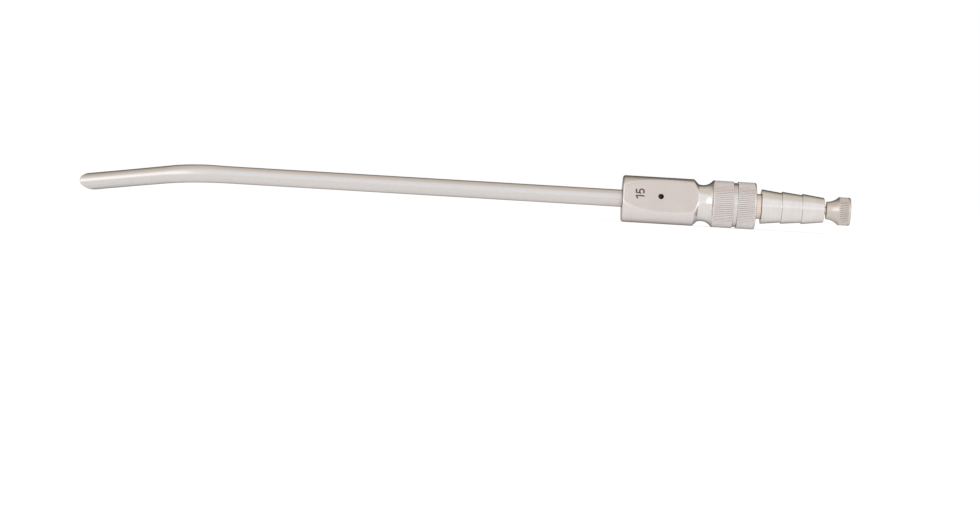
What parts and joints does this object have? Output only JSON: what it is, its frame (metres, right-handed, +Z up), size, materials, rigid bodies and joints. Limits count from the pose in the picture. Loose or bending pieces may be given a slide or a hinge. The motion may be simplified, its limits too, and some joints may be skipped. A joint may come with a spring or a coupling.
{
  "type": "suction tube with stylet",
  "caption": "Bent steel suction tube with slanted mouth, thumb rest and vent, knurled collars, barbed hose end and a pull-out stylet with a knurled knob.",
  "frame": {"origin": "under the middle of the tool as it lies on a table, in the plane of the table", "axes": "+X along the bore, from the mouth to the stylet knob; +Z up; the thumb rest faces -Y and a little up, and the tip bends towards +Y and down to the table"},
  "size_m": [0.2248, 0.0236, 0.0135],
  "materials": {
    "drawn_steel": "drawn tube, satin polished along its length",
    "satin_steel": "turned, glass bead blasted to a satin",
    "polished_steel": "turned and polished"
  },
  "bodies": {
    "tube_and_handle": {"suction_tube": "drawn_steel", "handle": "satin_steel", "hose_connector": "polished_steel"},
    "stylet": {"stylet_knob": "polished_steel", "stylet_wire": "drawn_steel"}
  },
  "joints": [
    {"name": "stylet_slide", "type": "slide", "parent": "tube_and_handle", "child": "stylet", "axis": [1, 0, 0], "range_m": [0, 0.216], "deforming": ["stylet_wire"]}
  ]
}
